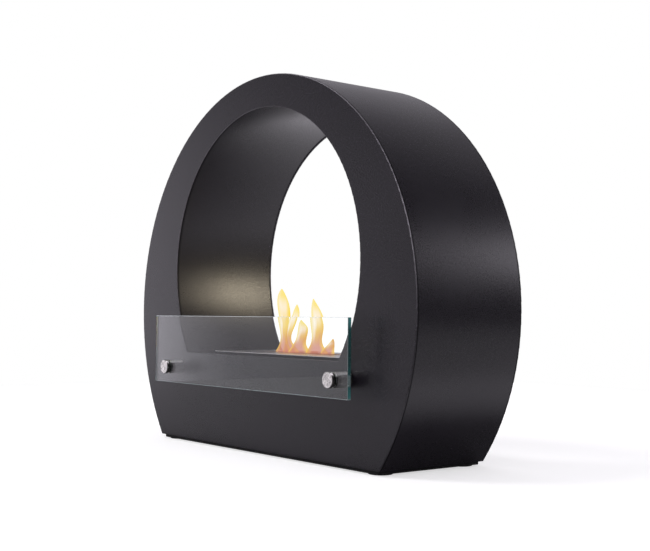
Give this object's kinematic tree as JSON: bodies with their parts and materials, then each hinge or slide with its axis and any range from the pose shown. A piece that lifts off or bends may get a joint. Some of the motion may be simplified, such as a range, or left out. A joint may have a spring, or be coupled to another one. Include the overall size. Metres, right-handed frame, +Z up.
{
  "type": "bioethanol fireplace",
  "caption": "Free-standing bioethanol fireplace: flat-footed round body in black steel, open front to back, with a lift-out burner in the hearth and a clear glass screen on stand-offs.",
  "frame": {"origin": "on the floor, under the centre of the whole object's outline, glass screen included", "axes": "+X along the width to the right as seen from the front, +Y from the glass screen to the back, +Z up"},
  "size_m": [0.6, 0.1956, 0.486],
  "materials": {
    "body_coat": "satin black powder coat",
    "inner_steel": "spot-welded steel, thinly coated",
    "base_coat": "matt black powder coat",
    "pad_rubber": "matt black rubber",
    "clear_glass": "clear toughened glass, dark green at its ground edges",
    "standoff_steel": "turned and brushed stainless steel",
    "clear_plastic": "soft translucent plastic",
    "screw_steel": "zinc-plated steel",
    "burner_steel": "brushed stainless steel, a little heat-tinted",
    "snuffer_steel": "brushed stainless steel",
    "ceramic_fibre": "white ceramic fibre blanket"
  },
  "bodies": {
    "body": {"front_panel": "body_coat", "rear_panel": "body_coat", "outer_shell": "body_coat", "inner_liner": "body_coat", "hearth_plate": "body_coat", "front_shell_tabs": "inner_steel", "rear_shell_tabs": "inner_steel", "front_liner_tabs": "inner_steel", "rear_liner_tabs": "inner_steel", "base_plate": "base_coat", "foot_front_left": "pad_rubber", "foot_front_right": "pad_rubber", "foot_rear_left": "pad_rubber", "foot_rear_right": "pad_rubber", "base_screws": "screw_steel", "base_nuts": "screw_steel", "glass_panel": "clear_glass", "glass_rear_washers": "clear_plastic", "glass_front_washers": "clear_plastic", "glass_hole_sleeves": "clear_plastic", "left_standoff_barrel": "standoff_steel", "right_standoff_barrel": "standoff_steel", "left_standoff_cap": "standoff_steel", "right_standoff_cap": "standoff_steel", "standoff_lock_washers": "screw_steel", "standoff_screws": "screw_steel"},
    "burner": {"burner_top_plate": "burner_steel", "burner_tank": "burner_steel", "fibre_block": "ceramic_fibre", "fibre_retainer": "burner_steel", "left_snuffer_rail": "burner_steel", "right_snuffer_rail": "burner_steel"},
    "snuffer": {"snuffer_plate": "snuffer_steel"}
  },
  "joints": [
    {"name": "burner_lift", "type": "slide", "parent": "body", "child": "burner", "axis": [0, 0, 1], "range_m": [0, 0.12]},
    {"name": "snuffer_slide", "type": "slide", "parent": "burner", "child": "snuffer", "axis": [0, -1, 0], "range_m": [0, 0.0298]}
  ]
}
